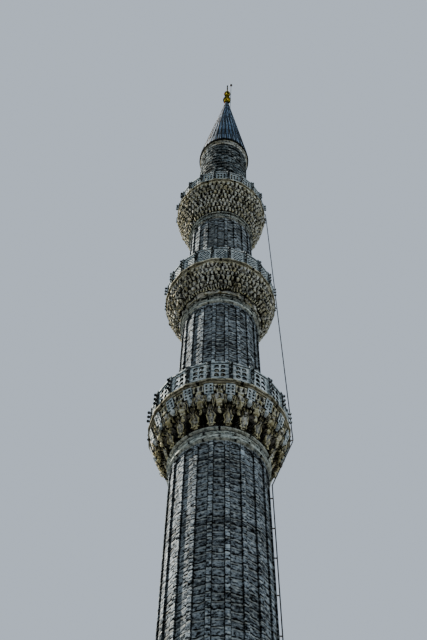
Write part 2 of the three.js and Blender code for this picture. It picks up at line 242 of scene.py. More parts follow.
# %% Ashlar
def placed(material, wander=0.0):
    """Object coordinates in real metres, and the angle round the axis in bays. With
    `wander` the second and third stray a little, so that joints are as uneven as old ones."""
    point = node(material, "ShaderNodeTexCoord")["Object"]
    real = node(material, "ShaderNodeVectorMath", {0: point, "Scale": 1.0 / S}, operation="SCALE")[0]
    strayed = real
    if wander:
        drift = node(material, "ShaderNodeTexNoise", {"Vector": real, "Scale": 4.0, "Detail": 4.0})["Color"]
        drift = node(material, "ShaderNodeVectorMath", {0: drift, 1: (0.5, 0.5, 0.5)},
                     operation="SUBTRACT")[0]
        strayed = node(material, "ShaderNodeVectorMath", {0: drift, 1: (0.25 * wander, 0.25 * wander, wander),
                                                          2: real}, operation="MULTIPLY_ADD")[0]
    axis = node(material, "ShaderNodeSeparateXYZ", {0: strayed})
    front = node(material, "ShaderNodeMath", {0: axis["Y"], 1: -1.0}, operation="MULTIPLY")[0]
    angle = node(material, "ShaderNodeMath", {0: axis["X"], 1: front}, operation="ARCTAN2")[0]
    bays = node(material, "ShaderNodeMath", {0: angle, 1: BAY}, operation="DIVIDE")[0]
    return real, axis, bays


def joint(material, value, every, width):
    """1 near each whole multiple of `every`, fading out over `width`."""
    parts = node(material, "ShaderNodeMath", {0: value, 1: every}, operation="DIVIDE")[0]
    off = node(material, "ShaderNodeMath", {0: parts, 1: 0.5}, operation="PINGPONG")[0]
    reach = width / 2 / every
    return node(material, "ShaderNodeMapRange", {0: off, 1: reach * 0.5, 2: reach, 3: 1.0, 4: 0.0})[0]


# %% [markdown]
# ## Weathering
# A worn face shows an even grain and, across it, level streaks where the surface has
# flaked. Two noises give them, one of them squashed to streaks. Their values lie between
# 0.3 and 0.7, so the limits below are close together: the lowest values are pits full of
# soot, and the highest are pale fresh scars. A slow noise adds whole patches of soot.


# %% Weathering
ROUGH = {"Detail": 3.0, "Roughness": 0.6}


def mottled(material, real, along, height, grain):
    """The grain of a worn face, and its mix with torn level streaks."""
    fine = node(material, "ShaderNodeTexNoise", {"Vector": real, "Scale": grain, **ROUGH})[0]
    flat = node(material, "ShaderNodeCombineXYZ", {0: along, 1: height})[0]
    flat = node(material, "ShaderNodeMapping", {0: flat, "Scale": (grain * 0.5, grain * 1.4, 1.0)})[0]
    torn = node(material, "ShaderNodeTexNoise", {"Vector": flat, "Scale": 1.0, **ROUGH})[0]
    return fine, node(material, "ShaderNodeMix", {0: 0.5, 2: fine, 3: torn})[0]


def weathered(material, body, real, both, soot, pitted, stain):
    """Patches and pits of soot, pale scars, and with `stain` brown water stains."""
    patch = node(material, "ShaderNodeTexNoise", {"Vector": real, "Scale": 1.1, "Detail": 3.0})[0]
    body = cover(material, body, patch, SOOT_AND_SHADE, 0.56, 0.4, 0.6 * soot)
    body = cover(material, body, both, SOOT_AND_SHADE, 0.475 + pitted, 0.42 + pitted, soot)
    body = cover(material, body, both, PALE, 0.56, 0.61, 0.6)
    if stain:
        brown = node(material, "ShaderNodeTexNoise", {"Vector": real, "Scale": 2.6, "Detail": 3.0})[0]
        body = cover(material, body, brown, colour("#8c7834"), 0.47, 0.62, stain)
    return body


def edge_highlight_and_crease_shade(material, body, edges):
    """Raised edges painted pale, partly as wear and partly as highlight, and inner corners given painted
    shade: Pointiness is 0.5 on a flat face.
    """
    bent = node(material, "ShaderNodeNewGeometry")["Pointiness"]
    # Painted highlight on raised edges, partly wear.
    body = cover(material, body, bent, colour("#d9cf9c"), 0.52, 0.57, edges)
    # Painted shade in inner corners.
    return cover(material, body, bent, SOOT_AND_SHADE, 0.47, 0.385)


# %% [markdown]
# ## Limestone
# Weathered limestone is rough and has no gloss. Its colour is built up in this order: the
# block's own tone, a few renewed blocks, weathering, a painted highlight on the pale lip over
# each level joint, darker flat faces in the flutes, the joints, raised edges painted pale as
# wear and as highlight with painted shade in inner corners and, over all of it, soot and
# painted shade in sheltered places. One block in forty is a renewed one.


# %% Limestone
WANDER = 0.16
RENEWED_FROM = 0.975


def limestone(name, low, high, course, across, grain=9.0, soot_and_shade_strength=0.9, reach=0.25, soot=0.85,
              renewed=0.0, edges=0.0, line=0.04, pitted=0.0, stain=0.0, blocks=0.25, flats_darkened=0.0):
    """Weathered limestone. `across` gives, from the bays, the block number and the mask of
    the upright joints; `low` and `high` are the tones of the darkest and the palest stone."""
    material, shader = blank(name, 0.95, gloss=0.0)
    real, axis, bays = placed(material, WANDER)
    rows = node(material, "ShaderNodeMath", {0: axis["Z"], 1: course}, operation="DIVIDE")[0]
    row = node(material, "ShaderNodeMath", {0: rows}, operation="FLOOR")[0]
    block, upright, along, raised = across(material, axis, bays, row)
    number = node(material, "ShaderNodeCombineXYZ", {0: block, 1: row})[0]
    dice = node(material, "ShaderNodeTexWhiteNoise", {0: number}, noise_dimensions="2D")[0]

    fine, both = mottled(material, real, along, axis["Z"], grain)
    spread = node(material, "ShaderNodeMapRange", {0: both, 1: 0.43, 2: 0.59, 3: 0.0, 4: 1.0})[0]
    tone = node(material, "ShaderNodeMix", {0: blocks, 2: spread, 3: dice})[0]
    body = cover(material, colour(low), tone, colour(high))
    body = cover(material, body, dice, colour("#b4c2cc"), RENEWED_FROM, RENEWED_FROM + 0.001, renewed)
    body = weathered(material, body, real, both, soot, pitted, stain)

    level = joint(material, axis["Z"], course, line)
    lines = node(material, "ShaderNodeMath", {0: level, 1: upright}, operation="MAXIMUM")[0]
    kept = node(material, "ShaderNodeMapRange", {0: fine, 1: 0.48, 2: 0.62, 3: 1.0, 4: 0.5})[0]
    lines = node(material, "ShaderNodeMath", {0: lines, 1: kept}, operation="MULTIPLY")[0]
    # A painted highlight: a pale band next to each level joint, as on a lit lip.
    joint_highlight = node(material, "ShaderNodeMath", {0: axis["Z"], 1: line}, operation="ADD")[0]
    joint_highlight = joint(material, joint_highlight, course, line)
    body = cover(material, body, joint_highlight, PALE, share=0.35)
    # The flat faces between the ribs are made darker than the ribs.
    if flats_darkened:
        body = cover(material, body, raised, colour("#2b2925"), 1.0, 0.0, flats_darkened)
    body = cover(material, body, lines, SOOT_AND_SHADE)

    # The `edges` amount paints raised edges pale, partly as highlight, and paints shade into inner corners.
    if edges:
        body = edge_highlight_and_crease_shade(material, body, edges)
    uneven = node(material, "ShaderNodeMapRange", {0: fine, 1: 0.4, 2: 0.6, 3: 0.3, 4: 1.8})[0]
    body = soot_and_painted_shade(material, body, reach, soot_and_shade_strength, uneven)
    height = node(material, "ShaderNodeMath", {0: both, 1: lines}, operation="SUBTRACT")[0]
    return finished(material, shader, body, height, 0.8, 0.04)


# %% [markdown]
# ## Blocks
# How blocks lie differs from place to place: one to each flat face and rib of the shaft,
# in a running bond round the drum, along the four walls of the pedestal, and whole slabs
# in the parapets. Each of these functions gives the block's number, the mask of its
# upright joints, the way along the wall in metres, and 1 where the stone stands forward.


# %% Blocks round the tower
BAY_WIDE = 0.48
RIB_FROM = 0.35


def way_round(material, bays):
    """Metres along the wall of a round tower."""
    return node(material, "ShaderNodeMath", {0: bays, 1: BAY_WIDE}, operation="MULTIPLY")[0]


def fluted_blocks(material, axis, bays, row):
    """One block to each flat face and one to each rib; where they meet, a black joint drawn as wide as a
    quirk and standing for its painted shade.
    """
    middle = node(material, "ShaderNodeMath", {0: bays}, operation="ROUND")[0]
    across = node(material, "ShaderNodeMath", {0: bays, 1: middle}, operation="SUBTRACT")[0]
    side = node(material, "ShaderNodeMath", {0: across}, operation="ABSOLUTE")[0]
    rib = node(material, "ShaderNodeMath", {0: side, 1: RIB_FROM + 0.005}, operation="GREATER_THAN")[0]
    beyond = node(material, "ShaderNodeMath", {0: rib, 1: across}, operation="MULTIPLY")[0]
    nearest = node(material, "ShaderNodeMath", {0: middle, 1: beyond}, operation="ADD")[0]
    half = node(material, "ShaderNodeMath", {0: nearest, 1: 2.0}, operation="MULTIPLY")[0]
    block = node(material, "ShaderNodeMath", {0: half}, operation="ROUND")[0]
    edge = node(material, "ShaderNodeMath", {0: side, 1: RIB_FROM - 0.005}, operation="SUBTRACT")[0]
    edge = node(material, "ShaderNodeMath", {0: edge}, operation="ABSOLUTE")[0]
    # The quirk line: the joint between rib and flat, and painted shade of the quirk's groove.
    quirk = node(material, "ShaderNodeMapRange", {0: edge, 1: 0.012, 2: 0.03, 3: 0.92, 4: 0.0})[0]
    return block, quirk, way_round(material, bays), rib


def bonded(material, count, row, gap):
    """Blocks that move on by half a block in every other course; `gap` is the joint."""
    odd = node(material, "ShaderNodeMath", {0: row, 1: 2.0}, operation="FLOORED_MODULO")[0]
    shift = node(material, "ShaderNodeMath", {0: odd, 1: 0.5}, operation="MULTIPLY")[0]
    moved = node(material, "ShaderNodeMath", {0: count, 1: shift}, operation="ADD")[0]
    block = node(material, "ShaderNodeMath", {0: moved}, operation="FLOOR")[0]
    return block, joint(material, moved, 1.0, gap)


def staggered_blocks(per_bay):
    """Blocks of one size round the tower."""
    def across(material, axis, bays, row):
        count = node(material, "ShaderNodeMath", {0: bays, 1: per_bay}, operation="MULTIPLY")[0]
        return *bonded(material, count, row, 0.09), way_round(material, bays), 1.0
    return across


def wall_blocks(width):
    """Blocks along a straight wall: x and y added run along each of the four sides."""
    def across(material, axis, bays, row):
        along = node(material, "ShaderNodeMath", {0: axis["X"], 1: axis["Y"]}, operation="ADD")[0]
        count = node(material, "ShaderNodeMath", {0: along, 1: width}, operation="DIVIDE")[0]
        return *bonded(material, count, row, 0.05), along, 1.0
    return across


def whole_slabs(material, axis, bays, row):
    """One slab to each side of a balcony, with no joint in it."""
    block = node(material, "ShaderNodeMath", {0: bays}, operation="ROUND")[0]
    return block, 0.0, way_round(material, bays), 1.0


# %% [markdown]
# Higher up the shaft the grain and the joints are coarser, as the photograph shows less.

# %% Stone finishes
shaft_stones = {
    name: limestone(f"limestone_fluted_{name}", "#242b32", "#abb6bf", 0.28, fluted_blocks, grain=grain,
                    soot=0.95, renewed=0.75, line=line, flats_darkened=0.2, pitted=0.01)
    for name, grain, line in (("lower", 11.0, 0.05), ("middle", 8.0, 0.055), ("upper", 6.5, 0.06))
}
drum_stone = limestone("limestone_ashlar_drum", "#0f1416", "#67737a", 0.36, staggered_blocks(0.75),
                       grain=5.5, soot=1.0, line=0.05, pitted=0.05, blocks=0.5)
wall_stone = limestone("limestone_ashlar_wall", "#464d51", "#a6a8a5", 0.42, wall_blocks(0.9), soot=0.6)
ring_stone = limestone("limestone_turned", "#707b7b", "#d6dcd4", 0.16, staggered_blocks(0.5),
                       grain=12.0, soot=0.45, stain=0.15)
edge_stone = limestone("limestone_cornice", "#6b6854", "#dbd6be", 3.0, staggered_blocks(0.5), soot=0.5)
carved_stone, finely_carved = [
    limestone(name, low, "#ffffff", 0.6, staggered_blocks(0.5), grain=12.0, reach=reach, soot_and_shade_strength=0.95,
              soot=soot, edges=edges, line=0.02, stain=stain)
    for name, low, reach, soot, edges, stain in (("limestone_carved", "#9ea196", 0.45, 0.85, 0.7, 0.4),
                                                 ("limestone_carved_fine", "#90958a", 0.3, 0.75, 0.55, 0.3))
]
NO_COURSE = 25.0  # metres, taller than any slab, so no level joint falls on one
marble = limestone("marble_weathered", "#83939b", "#edf3f3", NO_COURSE, whole_slabs, soot_and_shade_strength=0.9,
                   reach=0.12, soot=0.4)

# %% [markdown]
# ## Metals
# The cone is sheet lead: a soft grey metal that weathers to a dull blue-grey skin, each
# sheet a little different. The finial is gilded copper, still bright. The conductor and
# the rod are iron, painted and rusting, nearly black against the sky.


# %% Metals
EAVE_Z, EAVE_R = 52.4, 1.21
SHEET_Z, SHEET_R = EAVE_Z + 0.16, 1.17
APEX_Z, APEX_R = 61.2, 0.07
SEAMS = 32
LAP = 0.95


def sheet_lead():
    """Sheets with painted shadow along both sides of each seam and under each lap, and a painted highlight on
    a strip next to each seam.
    """
    material, shader = blank("lead_sheet_weathered", 0.7, gloss=0.02)
    real, axis, bays = placed(material)
    across = node(material, "ShaderNodeMath", {0: bays, 1: SEAMS / BAYS}, operation="MULTIPLY")[0]
    panel = node(material, "ShaderNodeMath", {0: across}, operation="FLOOR")[0]
    above = node(material, "ShaderNodeMath", {0: axis["Z"], 1: SHEET_Z}, operation="SUBTRACT")[0]
    rows = node(material, "ShaderNodeMath", {0: above, 1: LAP}, operation="DIVIDE")[0]
    row = node(material, "ShaderNodeMath", {0: rows}, operation="FLOOR")[0]
    number = node(material, "ShaderNodeCombineXYZ", {0: panel, 1: row})[0]
    dice = node(material, "ShaderNodeTexWhiteNoise", {0: number}, noise_dimensions="2D")[0]
    bloom = node(material, "ShaderNodeTexNoise", {"Vector": real, "Scale": 4.0, "Detail": 4.0})[0]
    tone = node(material, "ShaderNodeMix", {0: 0.5, 2: dice, 3: bloom})[0]
    body = cover(material, colour("#18222e"), tone, colour("#5c7592"))
    # Painted highlight: a pale strip next to each seam, as on its lit side.
    seam_highlight = node(material, "ShaderNodeMath", {0: across, 1: 0.3}, operation="ADD")[0]
    seam_highlight = joint(material, seam_highlight, 1.0, 0.25)
    body = cover(material, body, seam_highlight, colour("#aabfd6"), share=0.5)
    # Painted shadow: black lines at each seam and under each lap.
    seam_shadow = joint(material, across, 1.0, 0.42)
    lap_shadow = joint(material, above, LAP, 0.2)
    lap_shadow = node(material, "ShaderNodeMath", {0: lap_shadow, 1: 0.85}, operation="MULTIPLY")[0]
    lines = node(material, "ShaderNodeMath", {0: seam_shadow, 1: lap_shadow}, operation="MAXIMUM")[0]
    body = cover(material, body, lines, SOOT_AND_SHADE)
    body = soot_and_painted_shade(material, body, 0.1, 0.8)
    return finished(material, shader, body, bloom, 0.4, 0.01)


def metal(name, low, high, roughness, metallic, scale, rim="#ffffff"):
    """A bare metal between a tarnished and a bright tone; `rim` tints its grazing gloss."""
    material, shader = blank(name, roughness, metallic)
    shader.inputs["Specular Tint"].default_value = colour(rim)
    real = placed(material)[0]
    patch = node(material, "ShaderNodeTexNoise", {"Vector": real, "Scale": scale, "Detail": 4.0})[0]
    body = cover(material, colour(low), patch, colour(high), 0.42, 0.65)
    return finished(material, shader, body, patch, 0.3, 0.004)


lead = sheet_lead()
gilt = metal("copper_gilded", "#060500", "#7a7028", 0.35, 1.0, 9.0, rim="#8a8448")
iron = metal("iron_weathered", "#15161a", "#3a342f", 0.7, 0.6, 14.0)

# %% [markdown]
# ## Finishes of the plain pieces
# The pieces whose CAD shape is already right keep it and only get their material.

# %% Dress the CAD nodes
FINISHES = {
    "conductor": iron, "lightning": iron, "cone": lead, "finial": gilt,
    **{"shaft_" + name: stone for name, stone in shaft_stones.items()},
    "drum_cornice": carved_stone, "drum": drum_stone, "parapet": marble, "corbel": carved_stone,
    "ring": ring_stone, "floor": edge_stone,
    **dict.fromkeys(("entrance", "transition", "pedestal", "plinth"), wall_stone),
}
for name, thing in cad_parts.items():
    finish = next(material for word, material in FINISHES.items() if word in name)
    for place in thing.material_slots:
        place.material = finish
print(len(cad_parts), "CAD nodes dressed")

# %% [markdown]
# ## Helpers for shapes
# Almost every piece of a tower is either turned, or made for one bay and repeated. `turn`
# spins an outline round the tower's axis, as a mason draws a profile board round a
# centre. `around` copies one bay to all twenty. `worn` moves points by noise, whose seed
# is fixed, as it comes from the clock otherwise. `settle` merges the seams, points the
# faces outwards, and hands the piece over to the frame. Deep carving can mislead Blender
# about which side is out, so a piece with a negative volume is turned inside out.


# %% Shape helpers
CENTRE, UP = (0.0, 0.0, 0.0), (0.0, 0.0, 1.0)
TOUCHING = 1e-5
WEAR_SEED = 1
noise.seed_set(WEAR_SEED)


def fresh():
    """An empty piece, and its values of painted shade for each face."""
    bm = bmesh.new()
    return bm, bm.faces.layers.float.new("hollow")


def turn(bm, outline, steps, first=0.0):
    """Spin a closed outline of (radius, height) points all the way round."""
    points = [bm.verts.new(polar(r, first, z)) for r, z in outline]
    edges = [bm.edges.new(pair) for pair in zip(points, points[1:] + points[:1])]
    bmesh.ops.spin(bm, geom=points + edges, cent=CENTRE, axis=UP, angle=math.tau,
                   steps=steps, use_merge=True)


def around(bm):
    """Copy what is made for one bay to the other nineteen."""
    everything = bm.verts[:] + bm.edges[:] + bm.faces[:]
    bmesh.ops.spin(bm, geom=everything, cent=CENTRE, axis=UP, angle=math.tau * (BAYS - 1) / BAYS,
                   steps=BAYS - 1, use_duplicate=True)


def edges_at(points):
    return list({edge for point in points for edge in point.link_edges})


def faces_at(points):
    return list({face for point in points for face in point.link_faces})


def grown(bm, points):
    """Extrude the faces at these points, and give the new points."""
    made = bmesh.ops.extrude_face_region(bm, geom=faces_at(points))["geom"]
    return [g for g in made if isinstance(g, bmesh.types.BMVert)]


def inwards(points, depth):
    """Push points back towards the axis."""
    for point in points:
        flat = Vector((point.co.x, point.co.y, 0.0))
        point.co -= flat.normalized() * depth * S


def put_up(bm, name, finishes):
    """Make an object of the piece, with its finishes."""
    mesh = bpy.data.meshes.new(name)
    bm.to_mesh(mesh)
    bm.free()
    for finish in finishes:
        mesh.materials.append(finish)
    thing = bpy.data.objects.new(name, mesh)
    bpy.context.scene.collection.objects.link(thing)
    return thing


def settle(bm, name, finishes, slot, *nodes):
    """Close the seams, and hand the piece over with its finishes and CAD nodes; `slot` is not used."""
    if any(edge.is_boundary for edge in bm.edges):
        bmesh.ops.remove_doubles(bm, verts=bm.verts, dist=TOUCHING)
    bmesh.ops.recalc_face_normals(bm, faces=bm.faces)
    if bm.calc_volume(signed=True) < 0.0:
        bmesh.ops.reverse_faces(bm, faces=bm.faces)
    open_edges = sum(1 for edge in bm.edges if len(edge.link_faces) != 2)
    thing = put_up(bm, name, finishes)
    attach(thing, "root")
    if nodes:
        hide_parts(*nodes)
    thing.data.calc_loop_triangles()
    print(name, len(thing.data.loop_triangles), "triangles,", open_edges, "open edges")


def leaning(bm):
    """Lean what stands above the third balcony, as the CAD model does."""
    aside = Matrix(((1.0, 0.0, LEAN), (0.0, 1.0, 0.0), (0.0, 0.0, 1.0))).to_4x4()
    shear = Matrix.Translation((-LEAN * LEAN_Z * S, 0.0, 0.0)) @ aside
    bmesh.ops.transform(bm, matrix=shear, verts=bm.verts)


def worn(points, amount, size):
    """Move each point a little, so that no two copies of a carved bay stay the same."""
    for point in points:
        point.co += noise.noise_vector(point.co / (size * S)) * amount * S


def bead(r, low, high, out):
    """Points of a round bead between two heights."""
    return [(r + out * math.sin(math.pi * k / 4), low + (high - low) * k / 4) for k in range(5)]


def moulding(bm, outline, bore, steps, first=0.0):
    """Turn a moulding's outer face, and close it to the bore of the tower."""
    turn(bm, [(bore, outline[0][1]), *outline, (bore, outline[-1][1])], steps, first)


# %% Floor
FLOOR_HALF = 60.0
board, shader = blank("painted_board_pale", 0.9)
shader.inputs["Base Color"].default_value = colour("#d9d7d2")
bm = bmesh.new()
bmesh.ops.create_grid(bm, x_segments=1, y_segments=1, size=FLOOR_HALF)
floor = put_up(bm, "floor", [board])
floor.visible_diffuse = False

# %% [markdown]
# ## Rings
# Where a stage of the shaft ends, a ring of stone closes the flutes: a small bead, a plain
# band, and a larger bead that catches the light. A profile of three mouldings is turned.

# %% Rings
RING_RADII = {"balcony_1": 1.5, "balcony_2": 1.385, "balcony_3": 1.28}
RING_SIDES = 80
for name, r in RING_RADII.items():
    low, high = BALCONIES[name]["ring"], BALCONIES[name]["ring_top"]
    tall = high - low
    bm, shade_faces = fresh()
    moulding(bm, [(r - 0.03, low), *bead(r, low + 0.02, low + 0.1, 0.045), (r - 0.01, low + 0.12),
                  (r, low + 0.16), (r, low + tall * 0.5), *bead(r, low + tall * 0.52, low + tall * 0.6, 0.02),
                  (r, high - 0.2), *bead(r, high - 0.17, high - 0.04, 0.07), (r, high)],
             BALCONIES[name]["bore"], RING_SIDES)
    # Painted shade in the groove above the lower bead and under the top bead.
    for face in bm.faces:
        z = face.calc_center_median().z / S
        if low + 0.1 < z < low + 0.13 or high - 0.2 < z < high - 0.165:
            face[shade_faces] = GROOVE_SHADE
    settle(bm, name + "_ring_turned", [ring_stone], "stone", name + "_ring")

# %% [markdown]
# ## Heads of the flutes
# At the top of each stage the sunk faces between the ribs end in low arches. One arch is a
# row of quads whose lower corners follow a curve; it is pushed back into the wall, and
# twenty copies go round.

# %% Flute heads
FLUTES = {"lower": ("balcony_1", 1.477), "middle": ("balcony_2", 1.362), "upper": ("balcony_3", 1.257)}
HEAD_TALL, HEAD_DEEP = 0.46, 0.07
RIB_HALF = math.radians(2.2)
for name, (over, r) in FLUTES.items():
    bm = bmesh.new()
    top = BALCONIES[over]["ring"] - 0.002
    made = bmesh.ops.create_grid(bm, x_segments=16, y_segments=1, size=0.5)["verts"]
    for point in made:
        u = point.co.x * 2.0
        arch = 0.1 + 0.3 * math.sqrt(1.0 - min(1.0, abs(u)) ** 2)
        z = top if point.co.y > 0 else top - HEAD_TALL + arch
        point.co = polar(r, u * (BAY / 2 - RIB_HALF), z)
    inwards(grown(bm, made), HEAD_DEEP)
    around(bm)
    settle(bm, f"shaft_{name}_flute_heads", [shaft_stones[name]], "stone")

# %% [markdown]
# ## Cornices under the parapets
# Each balcony floor shows its edge as a stack of mouldings with twenty straight sides, a
# corner under each post: a hollow, a fillet, a bead and a square lip. The outline is spun
# in twenty steps that start at a post, so the corners fall where the posts stand.

# %% Cornices
FLOOR_RADII = {"balcony_1": 2.24, "balcony_2": 2.08, "balcony_3": 1.93}
for name, r in FLOOR_RADII.items():
    low, high = BALCONIES[name]["soffit"], BALCONIES[name]["floor"]
    bm, shade_faces = fresh()
    moulding(bm, [(r - 0.115, low), (r - 0.1, low + 0.02), (r - 0.095, low + 0.035),
                  (r - 0.075, low + 0.04), (r - 0.06, low + 0.06), (r - 0.035, low + 0.07),
                  (r - 0.03, low + 0.1), (r - 0.01, low + 0.105), (r, low + 0.12), (r, high)],
             BALCONIES[name]["bore"], BAYS, POST_ANGLE)
    # Painted shade in the hollow and on the fillet under the lip of the cornice.
    for face in bm.faces:
        out = max(point.co.xy.length for point in face.verts) / S
        if r - 0.098 < out < r - 0.068 or r - 0.033 < out < r - 0.028:
            face[shade_faces] = UNDERSIDE_SHADE
    settle(bm, name + "_floor_cornice", [edge_stone], "stone", name + "_floor")

# %% Cornice of the drum
DRUM_TOP, BLOCKS_END = 51.452, 52.03
bm, shade_faces = fresh()
moulding(bm, [(DRUM_R, DRUM_TOP), (DRUM_R, 52.02), *bead(DRUM_R + 0.01, 52.04, 52.14, 0.025),
              (DRUM_R + 0.01, 52.16), (1.13, 52.24), (1.14, 52.34), (1.15, 52.35), (1.15, EAVE_Z)],
         DRUM_BORE, 72)
for face in bm.faces:
    z = face.calc_center_median().z / S
    face.material_index = 1 if z > BLOCKS_END else 0
    # Painted shade on the upper mouldings, under the eave.
    face[shade_faces] = 0.4 if z > 52.15 else 0.0
leaning(bm)
settle(bm, "drum_cornice_turned", [drum_stone, carved_stone], "carved_stone", "drum_cornice")

# %% [markdown]
# ## Carved corbels
# Tiers of small niches carry each balcony. Each tier leans out over the one below, and the
# ridges between its niches end underneath in hanging points. One bay is a grid. Its
# columns run round the tower and its rows run up it, and every point is set on the tier's
# face and then pushed in as deep as the niches go there.


# %% Niches
def niche(x, w, spring=0.45):
    """Depth, 0 to 1, of a round-backed niche with a pointed head; x is -1 to 1 across."""
    half = 1.0 if w < spring else 1.0 - ((w - spring) / (1.0 - spring)) ** 1.7
    return math.sqrt(1.0 - (x / half) ** 2) if abs(x) < half else 0.0


def niche_low(x, w):
    """A niche whose head is low and blunt."""
    return niche(x, w, 0.75)


def lozenge(x, w):
    """A sunk diamond with a flat back."""
    return max(0.0, min(1.0, 2.2 * (1.0 - abs(x) - abs(2.0 * w - 1.0))))


def lump(x, w):
    """A raised shell: the depth is negative."""
    return -math.sqrt(max(0.0, 1.0 - x * x)) * math.sin(math.pi * min(1.0, w * 0.9 + 0.1))


def spaced(count, shift=0.0):
    """Places across a bay, in bays from its middle, of `count` niches to a bay."""
    return [(k + 0.5 + shift) / count - 0.5 for k in range(-1, count + 1)]


def drawn_in(bm, shade_points, rim, r, z):
    """Extrude a rim to the radius r at the height z, and give the new rim."""
    made = bmesh.ops.extrude_edge_only(bm, edges=rim)["geom"]
    for point in (g for g in made if isinstance(g, bmesh.types.BMVert)):
        flat = Vector((point.co.x, point.co.y, 0.0)).normalized() * r * S
        point.co = Vector((flat.x, flat.y, z * S))
        point[shade_points] = 0.0
    return [g for g in made if isinstance(g, bmesh.types.BMEdge)]


def cut_in(u, w, cuts):
    """Depth, painted shade and ridge, 0 in the middle of a cut and 1 outside all, at a place."""
    into, dark, ridge = 0.0, 0.0, 1.0
    for shape, centres, half, depth in cuts:
        for centre in centres:
            if abs(u - centre) < half * 1.001:
                part = shape((u - centre) / half * 0.999, w)
                into = part * depth if abs(part * depth) > abs(into) else into
                dark = max(dark, part)
                ridge = min(ridge, abs(u - centre) / half)
    return into, dark, ridge


# %% [markdown]
# Twenty copies of the bay come first. Then every point is moved a little, as wear does,
# except the upper rim, which meets the cornice. Last, both rims are drawn in to the hollow
# of the tower and bridged, so that the ring of stone is closed.


# %% Ring of corbels
COLUMNS = 40
FOOT_IN = 0.06
WEAR_SIZE = 0.17


def corbels(name, finish, tiers, rows, hang, deep, wear):
    """Tiers of (z0, z1, r0, r1, cuts), with ridges that hang down by `hang` at their ends.
    The lowest niches get black painted shade, and the highest ones as much as `deep` says."""
    bm = bmesh.new()
    bore = BALCONIES[name]["bore"]
    shade_points = bm.verts.layers.float.new("hollow")
    levels = [(tier, k / rows, n) for n, tier in enumerate(tiers) for k in range(rows + 1)]
    last = len(levels) - 1
    bmesh.ops.create_grid(bm, x_segments=COLUMNS, y_segments=last, size=0.5)
    for point in bm.verts:
        u = point.co.x
        (z0, z1, r0, r1, cuts), w, tier = levels[round((point.co.y + 0.5) * last)]
        into, dark, ridge = cut_in(u, w, cuts)
        # Painted shade in the niches, weaker in the higher tiers.
        point[shade_points] = dark * (1.0 - (1.0 - deep) * tier / (len(tiers) - 1))
        tip = hang * (1.0 - w) * ridge ** 2 if tier else 0.0
        point.co = polar(r0 + (r1 - r0) * w - into, u * BAY, z0 + (z1 - z0) * w - tip)
    around(bm)
    bmesh.ops.remove_doubles(bm, verts=bm.verts, dist=TOUCHING)
    low, high = tiers[0][0], tiers[-1][1]
    middle = (low + high) / 2 * S
    foot = [edge for edge in bm.edges if edge.is_boundary and edge.verts[0].co.z < middle]
    head = [edge for edge in bm.edges if edge.is_boundary and edge.verts[0].co.z > middle]
    rims = {point for edge in head for point in edge.verts}
    worn([point for point in bm.verts if point not in rims], wear, WEAR_SIZE)
    foot = drawn_in(bm, shade_points, foot, tiers[0][2] - FOOT_IN, low)
    foot = drawn_in(bm, shade_points, foot, bore, low)
    head = drawn_in(bm, shade_points, head, bore, high)
    bmesh.ops.bridge_loops(bm, edges=foot + head)
    settle(bm, name + "_corbels", [finish], "carved_stone",
           *[f"{name}_corbel_{tier}" for tier in (1, 2, 3)])


# %% Pierced slabs
UPRIGHT = Matrix.Rotation(math.pi / 2, 4, "X")


def pierced(bm, width, low, high, thick, r, holes, a=0.0, lean=0.0):
    """A slab r from the axis, turned by a, with holes of (x, z, sides, rx, rz, fall). The
    lower half of a hole is drawn down by `fall`, which makes an arch of it. The slab stands
    upright, or leans out by `lean` for each metre that it rises."""
    shade_faces = bm.faces.layers.float["hollow"]
    before = set(bm.verts)
    plate = (Matrix.Translation((0.0, 0.0, (low + high) / 2 * S)) @ UPRIGHT
             @ Matrix.Diagonal((width * S, (high - low) * S, 1.0, 1.0)))
    made = bmesh.ops.create_grid(bm, x_segments=1, y_segments=1, size=0.5, matrix=plate)["verts"]
    edges = edges_at(made)
    bmesh.ops.delete(bm, geom=faces_at(made), context="FACES_ONLY")
    for x, z, sides, rx, rz, fall in holes:
        where = (Matrix.Translation((x * S, 0.0, z * S)) @ UPRIGHT
                 @ Matrix.Diagonal((rx * S, rz * S, 1.0, 1.0)))
        points = bmesh.ops.create_circle(bm, segments=sides, radius=1.0, matrix=where)["verts"]
        for point in points:
            if fall and point.co.z < z * S - 1e-6:
                side = point.co.x - x * S
                point.co.z = (z - fall) * S
                if abs(side) > 0.7 * rx * S:
                    point.co.x = x * S + math.copysign(rx * S, side)
        edges += edges_at(points)
    filled = bmesh.ops.triangle_fill(bm, use_beauty=True, edges=edges, normal=(0.0, -1.0, 0.0))["geom"]
    front = {v for g in filled if isinstance(g, bmesh.types.BMFace) for v in g.verts}
    for point in front:
        point.co.y = -(r + thick / 2) * S
    for point in grown(bm, front):
        point.co.y += thick * S
    made = [point for point in bm.verts if point not in before]
    bm.normal_update()
    # Painted shade on the sides of the holes and the edges of the slab.
    for face in faces_at(made):
        face[shade_faces] = BLACKEST_SHADE if abs(face.normal.y) < 0.5 else 0.0
    for point in made:
        point.co.y -= (point.co.z - low * S) * lean
    bmesh.ops.rotate(bm, verts=made, cent=CENTRE, matrix=Matrix.Rotation(a, 3, "Z"))


def block(bm, width, low, high, near, far, a=0.0, soften=0.0):
    """A box from near to far from the axis, turned by the angle a."""
    centre = Vector((0.0, -(near + far) / 2, (low + high) / 2)) * S
    where = (Matrix.Rotation(a, 4, "Z") @ Matrix.Translation(centre)
             @ Matrix.Diagonal((width * S, (far - near) * S, (high - low) * S, 1.0)))
    before = set(bm.faces)
    made = bmesh.ops.create_cube(bm, size=1.0, matrix=where)["verts"]
    if soften:
        bmesh.ops.bevel(bm, geom=edges_at(made), offset=soften * S, offset_type="OFFSET", segments=1,
                        affect="EDGES", profile=0.5, material=-1)
    bm.normal_update()
    return [face for face in bm.faces if face not in before]


